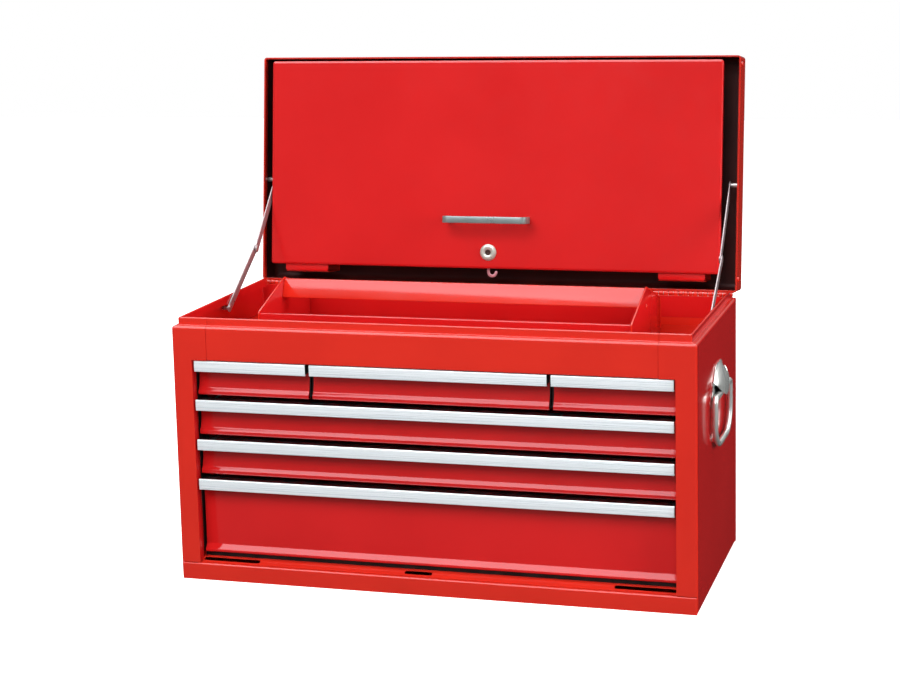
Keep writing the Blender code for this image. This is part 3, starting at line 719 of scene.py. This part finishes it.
# ---------------------------------------------------------------- hinge, lid and stays
def hinge():
    """Piano hinge: the knuckles of its two leaves take turns along the pin."""
    reach = -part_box("hinge_pin")[0].x
    count = round(2 * reach / KNUCKLE_PITCH)
    pitch = 2 * reach / count
    thick, stand_off, leaf = 0.0012, 0.0025, 0.027      # a leaf runs from stand_off to leaf, from the pin
    for word, up, body, place in (
        ("case", -1, "case", Matrix.Translation(HINGE)),
        ("lid", 1, "lid", LID_FRAME),
    ):
        y = -KNUCKLE_RADIUS
        near, far = sorted((up * stand_off, up * leaf))
        bm = box((-reach, y, near), (reach, y + thick, far))
        curl = [(y, -stand_off - 0.0005)] + arc((0, 0), KNUCKLE_RADIUS, 180, -110, 12)
        outline = [(a, -up * b) for a, b in strip(curl, -thick)]
        for i in range(0 if up < 0 else 1, count, 2):
            start = -reach + i * pitch + SEAM
            prism(outline, X_AXIS, start, start + pitch - 2 * SEAM, bm)
        build(draft("hinge_%s_knuckles" % word, bm, place), body, "red_enamel", ["hinge_leaf_" + word], edge=0.0003)
    pin = lathe([(0, -reach), (0.0014, -reach), (0.0014, reach), (0, reach)],
                Matrix.Translation(HINGE) @ Matrix.Rotation(pi / 2, 4, "Y"), 14)
    build(draft("hinge_rod", pin), "case", "zinc_steel", ["hinge_pin"], edge=0)


def pressed_shell(inset, sheet, upright):
    """An open box in the closed lid's frame: upright corners of one radius, the top edge of another."""
    front, back, high = FRONT - HINGE.y, BACK - HINGE.y, LID_LOW + LID_HEIGHT
    levels = []
    for shift, bends in ((inset, range(0, 91, 10)), (inset + sheet, range(90, -1, -10))):
        radius = LID_RADIUS - shift
        skin = []
        for bend in bends:
            d = shift + radius * (1 - cos(radians(bend)))
            turn = max(upright - d, 0.0004)
            plan = rectangle(-SIDE + d, front + d, SIDE - d, back - d, turn, 5)
            skin.append((plan, high - LID_RADIUS + radius * sin(radians(bend))))
        mouth = rectangle(-SIDE + shift, front + shift, SIDE - shift, back - shift, upright - shift, 5)
        levels += [(mouth, LID_LOW)] + skin if shift == inset else skin + [(mouth, LID_LOW)]
    bm, rings = loft(levels)
    crown = len(rings) // 2 - 1         # the outer skin's last ring; the inner skin's first ring follows
    for k, (near, far) in enumerate(zip(rings, rings[1:] + rings[:1])):
        if k == crown:
            bm.faces.new(near)
            bm.faces.new(far)
        else:
            ring_faces(bm, near, far)
    return bm


def lid():
    """The lid's pressed shell with a near-black lining of painted shade inside it, its folded hem, and its rivets."""
    front, back = FRONT - HINGE.y, BACK - HINGE.y
    skin = draft("lid_skin", pressed_shell(0, SHEET, 0.0038), LID_FRAME)
    build(skin, "lid", "red_enamel", ["lid_shell"], edge=0, broad=True)
    # near-black lining just inside the shell: painted shade
    lining = draft("lid_shade_lining", pressed_shell(SHEET + 0.0001, 0.0003, 0.0036), LID_FRAME)
    build(lining, "lid", "black_steel", ["lid_shell"], edge=0, material=LID_SHADE_ENAMEL, broad=True)

    inset = SHEET + 0.0002
    deeper = inset + 0.0009
    outer = rectangle(-SIDE + inset, front + inset, SIDE - inset, back - inset, 0.0024, 5)
    inner = rectangle(-SIDE + deeper, front + deeper, SIDE - deeper, back - deeper, 0.0016, 5)
    hem = LID_LOW + 0.010
    bm, rings = loft([(outer, LID_LOW), (outer, hem), (inner, hem), (inner, LID_LOW)])
    for near, far in zip(rings, rings[1:] + rings[:1]):
        ring_faces(bm, near, far)
    build(draft("lid_hem", bm, LID_FRAME), "lid", "red_enamel", edge=0.0003)

    heads = bmesh.new()
    for side in (-1, 1):
        for y in (front + 0.011, back - 0.016):
            rivet(heads, (side * SIDE, y, LID_LOW + 0.010), (side, 0, 0), 0.0036, 0.0020)
    build(draft("lid_rivets", heads, LID_FRAME), "lid", "red_enamel", edge=0)


def stays():
    """Flat plated links with rounded edges, and the rivets that they turn on."""
    for word, side in (("left", -1), ("right", 1)):
        foot = Vector(JOINTS["stay_lower_%s_pivot" % word]["pos_m"])
        head = Vector(JOINTS["stay_upper_%s_pivot" % word]["pos_m"])
        reach = hypot(head.y - foot.y, head.z - foot.z)
        line = atan2(head.z - foot.z, head.y - foot.y)
        bend = acos(reach / 2 / STAY_LENGTH)
        for part, at, angle in (("lower", foot, line - bend), ("upper", head, line + bend + pi)):
            name = "stay_%s_%s" % (part, word)
            place = Matrix.Translation((0, at.y, at.z)) @ Matrix.Rotation(angle, 4, "X")
            inner = STAY_X[part]
            bar = arc((0, 0), STAY_HALF, 90, 270, 14) + arc((STAY_LENGTH, 0), STAY_HALF, -90, 90, 14)
            link = draft(name + "_link", prism(bar, X_AXIS, side * inner, side * (inner + STAY_SHEET)), place)
            # the link in the darker tinted plate: painted reflection
            build(link, name, "zinc_steel", [name], edge=0.0005, material=DARK_REFLECTION_PLATE)
            wall = side * (SIDE - SHEET - 0.0005)
            pins = bmesh.new()
            prism(circle((0, 0), 0.003, 20), X_AXIS, side * (inner + 0.001), wall, pins)
            rivet(pins, (side * inner, 0, 0), (-side, 0, 0), 0.0042, 0.0013)
            if part == "upper":
                rivet(pins, (side * inner, STAY_LENGTH, 0), (-side, 0, 0), 0.0046, 0.0014)
                elbow = circle((STAY_LENGTH, 0), 0.0028, 20)
                prism(elbow, X_AXIS, side * (inner + 0.001), side * (inner + 0.0017), pins)
            build(draft(name + "_rivets", pins, place), name, "zinc_steel", [name], edge=0.0002)


# ---------------------------------------------------------------- front cover
def cover_place():
    """The stowed cover's own frame: x across, y down, z into the lid."""
    return LID_FRAME @ Matrix.Translation((COVER_X, -COVER_FOOT, COVER_FACE))


def front_cover():
    """The cover's pressed panel: soft edges, returns all round, two tabs and its lock."""
    place = cover_place()
    low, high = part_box("front_cover")
    half = (high.x - low.x) / 2
    bm = box((-half, -COVER_HEIGHT, 0), (half, 0, COVER_RETURN))
    open_side = max(bm.faces, key=lambda f: f.calc_center_median().z)
    bmesh.ops.delete(bm, geom=[open_side], context="FACES_ONLY")
    edges = [e for e in bm.edges if min(v.co.z for v in e.verts) < COVER_RETURN / 2]
    bmesh.ops.bevel(bm, geom=edges, offset=0.0035, segments=6, profile=0.5, affect="EDGES")
    panel = draft("cover_skin", bm, place)
    solid = panel.modifiers.new("Solidify", "SOLIDIFY")
    solid.thickness = SHEET
    solid.offset = -1
    # the cover and its tabs in the darker enamel: painted shade
    build(panel, "cover", "red_enamel", ["front_cover"], edge=0.0003, material=SHADED_ENAMEL, broad=True)
    for word, side in (("left", -1), ("right", 1)):
        start, end = side * TAB_X - TAB_HALF, side * TAB_X + TAB_HALF
        outline = [(start, -0.0015), (end, -0.0015), (end, 0.009), (start, 0.009)]
        tab = prism(rounded(outline, [0, 0, 0.003, 0.003], 5), Z_AXIS, COVER_RETURN - SHEET - SEAM, COVER_RETURN - SEAM)
        build(draft("cover_%s_tab" % word, tab, place), "cover", "red_enamel", material=SHADED_ENAMEL)
    pull_and_lock(place)


def pull_and_lock(place):
    """The pull, the round lock with its dark plug and nut, and the hooked cam behind the cover."""
    pull_y, lock_y = COVER_FOOT - 0.092, COVER_FOOT - 0.048
    half, top, thick = 0.054, -0.026, 0.0048
    bow = [(-half + 0.002, -SEAM), (-half, top), (half, top), (half - 0.002, -SEAM)]
    bow = bent(bow, [0.005, 0.005], -thick, 7)
    bar = draft("cover_pull", prism(bow, Y_AXIS, pull_y - 0.0045, pull_y + 0.0045), place)
    build(bar, "cover", "chrome", ["pull_handle"], edge=0.0008, material=GREY_PLATE)

    centre = place @ Matrix.Translation((0, lock_y, 0))
    ring = [(0.0040, -0.0026), (0.0050, -0.0034), (0.0076, -0.0036), (0.0094, -0.0032), (0.0106, -0.0022)]
    ring += [(0.0112, -0.0010), (0.0112, -0.0003), (0.0080, -0.0003), (0.0080, 0.0068), (0.0053, 0.0068)]
    ring += [(0.0053, -0.0006), (0.0040, -0.0006), (0.0040, -0.0026)]
    build(draft("lock_ring", lathe(ring, centre, 40)), "cover", "chrome", ["lock_housing"], edge=0, material=PALE_PLATE)
    plug = [(0, -0.0014), (0.0012, -0.0014), (0.0014, -0.0020), (0.0030, -0.0022), (0.0036, -0.0016)]
    plug += [(0.0036, 0.0072), (0, 0.0072)]
    core = draft("lock_core", lathe(plug, centre, 32))
    key = prism(rectangle(-0.0005, -0.0027, 0.0005, 0.0027, 0.0002, 2), Z_AXIS, -0.0100, -0.0008)
    bmesh.ops.transform(key, matrix=centre, verts=key.verts)
    cut(core, key)
    build(core, "lock", "chrome", ["lock_plug"], edge=0, material=PLUG)
    nut = [(0.0113 * cos(radians(a)), 0.0113 * sin(radians(a)) + lock_y) for a in range(0, 360, 60)]
    nut = draft("lock_nut", prism(nut, Z_AXIS, SHEET + 0.0002, 0.0044), place)
    hole = prism(circle((0, lock_y), 0.0081, 32), Z_AXIS, -0.01, 0.02)
    bmesh.ops.transform(hole, matrix=place, verts=hole.verts)
    cut(nut, hole)
    build(nut, "cover", "zinc_steel", edge=0.0003)

    eye, outer, inner = (0.0037, 0.0268), 0.0071, 0.0033
    arm = arc((0, 0), 0.0060, -140, -40, 10) + [(0.0050, 0.0060), (eye[0] - inner, 0.0130)]
    arm += [(eye[0] - inner, eye[1])] + arc(eye, inner, 165, 0, 11)
    arm += arc((eye[0] + (inner + outer) / 2, eye[1]), (outer - inner) / 2, -150, -30, 4)
    arm += arc(eye, outer, 0, 180, 15) + [(eye[0] - outer, 0.0130), (-0.0050, 0.0060)]
    hook = draft("lock_hook", prism(arm, Z_AXIS, 0.0075, 0.0090), centre)
    # the hook in the pink-tinted plate: painted reflection of the red paint
    build(hook, "lock", "zinc_steel", ["lock_cam"], edge=0.0004, material=PINK_REFLECTION_PLATE)


# ---------------------------------------------------------------- side handles
def side_handles():
    """A chrome hood over each handle's upper bar, with painted shade inside it and on the plate below it, and the
    smooth bail.
    """
    for word, side in (("left", -1), ("right", 1)):
        bar = Vector(JOINTS["bail_%s_swing" % word]["pos_m"])
        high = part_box("handle_plate_" + word)[1]
        plate_x = SIDE + SEAM
        half, top, bottom = high.y, high.z, bar.z - 0.015
        outline = [(-half, bottom), (half, bottom), (half, bottom + 0.016)]
        outline += [(0.022, top), (-0.022, top), (-half, bottom + 0.016)]
        outline = rounded(outline, [0.005, 0.005, 0.010, 0.016, 0.016, 0.010], 6)
        plate = prism(outline, X_AXIS, side * plate_x, side * (plate_x + 0.0010))
        build(draft("handle_%s_base" % word, plate), "case", "chrome", ["handle_plate_" + word], edge=0.0004)
        hood(word, side, plate_x + 0.0009, half, top, bar)
        # a black pad on the plate under the hood: painted shade of the hollow
        shade = [(-0.036, bottom + 0.002), (0.036, bottom + 0.002), (0.030, top - 0.012), (-0.030, top - 0.012)]
        hollow_shade = prism(rounded(shade, 0.005, 5), X_AXIS, side * (plate_x + 0.0011), side * (plate_x + 0.0016))
        build(draft("handle_%s_shade" % word, hollow_shade), "case", "black_steel", edge=0.0003)
        heads = bmesh.new()
        for y in (-1, 1):
            rivet(heads, (side * (plate_x + 0.0010), y * 0.0455, bottom + 0.0065), (side, 0, 0), 0.0032, 0.0016)
        build(draft("handle_%s_rivets" % word, heads), "case", "chrome", edge=0)
        bail(word, bar)


def hood(word, side, base, half, top, bar):
    """A pressed dome over the handle's bar: rounded above, its mouth arched up at both ends, with a black lining of
    painted shade inside.
    """
    across, down, swell = 48, 20, 0.0107
    for part, shrink, sheet in (("hood", 0, 0.0010), ("hood_shade_lining", 0.0012, 0.0003)):
        bm = bmesh.new()
        grid = []
        for i in range(across + 1):
            u = -1 + 2 * i / across
            y = u * (half - 0.003 - shrink)
            bulge = swell * max(0, 1 - abs(u) ** 2.4) ** 0.75
            upper = top - 0.0012 - 0.0250 * abs(u) ** 1.9 - shrink
            lower = bar.z - 0.0060 + 0.0250 * abs(u) ** 1.7
            column = []
            for k in range(down + 1):
                v = k / down
                rise = sin(min(1, v * 1.25) * pi / 2) ** 0.8
                reach = max(0.0002, bulge * rise - shrink)
                column.append(bm.verts.new((side * (base + reach), y, upper + (lower - upper) * v)))
            grid.append(column)
        for near, far in zip(grid, grid[1:]):
            for k in range(down):
                bm.faces.new((near[k], near[k + 1], far[k + 1], far[k]))
        piece = draft("handle_%s_%s" % (word, part), bm)
        for face in piece.data.polygons:
            if face.normal.x * side < 0:
                face.flip()
        solid = piece.modifiers.new("Solidify", "SOLIDIFY")
        solid.thickness = sheet
        solid.offset = -1
        if part == "hood":
            build(piece, "case", "chrome", ["handle_plate_" + word], edge=0, sharp=60)
        else:
            # the black lining: painted shade inside the hood
            build(piece, "case", "black_steel", edge=0, sharp=60)


def bail(word, bar):
    """The handle itself: a round rod bent to a loop."""
    half, drop, corner, tight = 0.059, 0.062, 0.034, 0.008
    points = arc((half - tight, -tight), tight, 90, 0, 8)
    points += arc((half - corner, -drop + corner), corner, 0, -90, 18)
    points += arc((-half + corner, -drop + corner), corner, -90, -180, 18)
    points += arc((-half + tight, -tight), tight, 180, 90, 8)
    loop = [(bar.x, bar.y + y, bar.z + z) for y, z in points]
    bent_rod = rod("bail_%s_loop" % word, loop, 0.0036, True)
    build(bent_rod, "bail_" + word, "chrome", ["bail_" + word], edge=0, sharp=80)


# ---------------------------------------------------------------- camera, floor and light
def camera():
    """A long lens from the front right, slightly above, with a small shift up the frame."""
    azimuth, elevation, distance, roll = radians(16.61), radians(9.36), 2.5617, radians(-1.34)
    target = Vector((-0.0111, 0, 0.3856))
    away = Vector((sin(azimuth) * cos(elevation), -cos(azimuth) * cos(elevation), sin(elevation)))
    eye = target + away * distance
    data = bpy.data.cameras.new("camera")
    data.lens = 80.72
    data.sensor_width = 36
    data.shift_y = -0.08
    data.clip_start = 0.05
    seen = bpy.data.objects.new("camera", data)
    bpy.context.scene.collection.objects.link(seen)
    seen.rotation_mode = "QUATERNION"
    seen.location = eye
    look = (target - eye).to_track_quat("-Z", "Y")
    seen.rotation_quaternion = look @ Matrix.Rotation(roll, 3, "Z").to_quaternion()
    bpy.context.scene.camera = seen


def floor():
    """A pale floor that takes no part in the chest's reflections."""
    bm = box((-6, -6, -0.02), (6, 6, -0.0002))
    mesh = bpy.data.meshes.new("floor")
    bm.to_mesh(mesh)
    bm.free()
    piece = bpy.data.objects.new("floor", mesh)
    made, tree, shader = shader_of("floor_paint")
    tint(tree, shader, noise(tree, 3, 2), (0.90, 0.90, 0.90), (0.92, 0.92, 0.92))
    shader.inputs["Roughness"].default_value = 0.8
    shader.inputs["Specular IOR Level"].default_value = 0.1
    shader.inputs["Emission Color"].default_value = (1, 1, 1, 1)
    shader.inputs["Emission Strength"].default_value = 0.75
    mesh.materials.append(made)
    bpy.context.scene.collection.objects.link(piece)
    piece.visible_glossy = False
    piece.visible_diffuse = False


def softbox(name, azimuth, elevation, distance, size, radiance, glossy=True, diffuse=True, colour=(1, 1, 1)):
    """A soft light on a sphere round the chest; azimuth 0 is in front of it."""
    a, e = radians(azimuth), radians(elevation)
    away = Vector((sin(a) * cos(e), -cos(a) * cos(e), sin(e)))
    data = bpy.data.lights.new(name, "AREA")
    data.shape = "RECTANGLE"
    data.size, data.size_y = size
    data.energy = radiance * pi * size[0] * size[1]
    data.color = colour
    light = bpy.data.objects.new(name, data)
    bpy.context.scene.collection.objects.link(light)
    light.location = Vector((0, 0, 0.3)) + away * distance
    light.rotation_mode = "QUATERNION"
    light.rotation_quaternion = (-away).to_track_quat("-Z", "Y")
    light.visible_glossy = glossy
    light.visible_diffuse = diffuse
    light.visible_camera = False


def world():
    """A studio that is pale in front, bright above the horizon behind, and dark below it behind."""
    made = bpy.data.worlds.new("studio")
    bpy.context.scene.world = made
    made.use_nodes = True
    tree = made.node_tree
    tree.nodes.clear()
    place = tree.nodes.new("ShaderNodeTexCoord")
    parts = tree.nodes.new("ShaderNodeSeparateXYZ")
    tree.links.new(place.outputs["Generated"], parts.inputs["Vector"])

    def ramp(axis, start, end, low, high):
        level = tree.nodes.new("ShaderNodeMapRange")
        level.interpolation_type = "SMOOTHSTEP"
        for key, value in (("From Min", start), ("From Max", end), ("To Min", low), ("To Max", high)):
            level.inputs[key].default_value = value
        tree.links.new(parts.outputs[axis], level.inputs["Value"])
        return level.outputs["Result"]

    blend = tree.nodes.new("ShaderNodeMix")
    tree.links.new(ramp("Y", -0.35, 0.25, 0, 1), blend.inputs["Factor"])
    blend.inputs["A"].default_value = 0.24
    tree.links.new(ramp("Z", -0.08, 0.40, 0.02, 0.60), blend.inputs["B"])
    studio = tree.nodes.new("ShaderNodeBackground")
    tree.links.new(blend.outputs["Result"], studio.inputs["Strength"])
    white = tree.nodes.new("ShaderNodeBackground")
    kind = tree.nodes.new("ShaderNodeLightPath")
    pick = tree.nodes.new("ShaderNodeMixShader")
    tree.links.new(kind.outputs["Is Camera Ray"], pick.inputs["Fac"])
    tree.links.new(studio.outputs["Background"], pick.inputs[1])
    tree.links.new(white.outputs["Background"], pick.inputs[2])
    out = tree.nodes.new("ShaderNodeOutputWorld")
    tree.links.new(pick.outputs["Shader"], out.inputs["Surface"])
    for node in (studio, white):
        node.inputs["Color"].default_value = (1, 1, 1, 1)


def lights():
    """Broad boxes for the glossy paint's highlights, and smaller ones that light it without being mirrored."""
    softbox("key", -14, 38, 2.7, (1.9, 1.5), 7.5, glossy=False)
    softbox("front_fill", 8, 12, 3.2, (2.6, 1.8), 1.2, glossy=False)
    softbox("highlight", -17, 53, 8.0, (11.0, 6.8), 5.6, diffuse=False, colour=(0.97, 0.93, 1.0))
    softbox("low_glow", -17, 30, 8.0, (9.0, 1.6), 0.6, diffuse=False)
    softbox("rim_glint", 150, 50, 8.0, (9.0, 7.0), 1.8, diffuse=False)
    softbox("overhead", 0, 100, 6.0, (9.0, 5.6), 4.5, diffuse=False)
    softbox("side_glint", 105, 18, 2.6, (1.8, 1.6), 2.4, diffuse=False)
    softbox("right_fill", 80, 20, 2.6, (1.6, 1.6), 6.4, glossy=False)
    softbox("back_fill", 190, 30, 2.8, (2.0, 1.2), 4.0, glossy=False)


# ---------------------------------------------------------------- assembly
def main():
    camera()
    floor()
    world()
    lights()
    for node, piece in frame["nodes"].items():
        piece.data.materials.clear()
        piece.data.materials.append(FINISHES[SLOT_OF[node]])
    side_panels()
    back_panel()
    rails()
    divider_edge_shades()
    for name in ("top_left_drawer", "top_middle_drawer", "top_right_drawer", "upper_drawer", "lower_drawer"):
        drawer(name, deep=False)
    drawer("deep_drawer", deep=True)
    tray()
    hinge()
    lid()
    stays()
    front_cover()
    side_handles()
    bpy.context.scene.view_settings.view_transform = "Standard"


main()
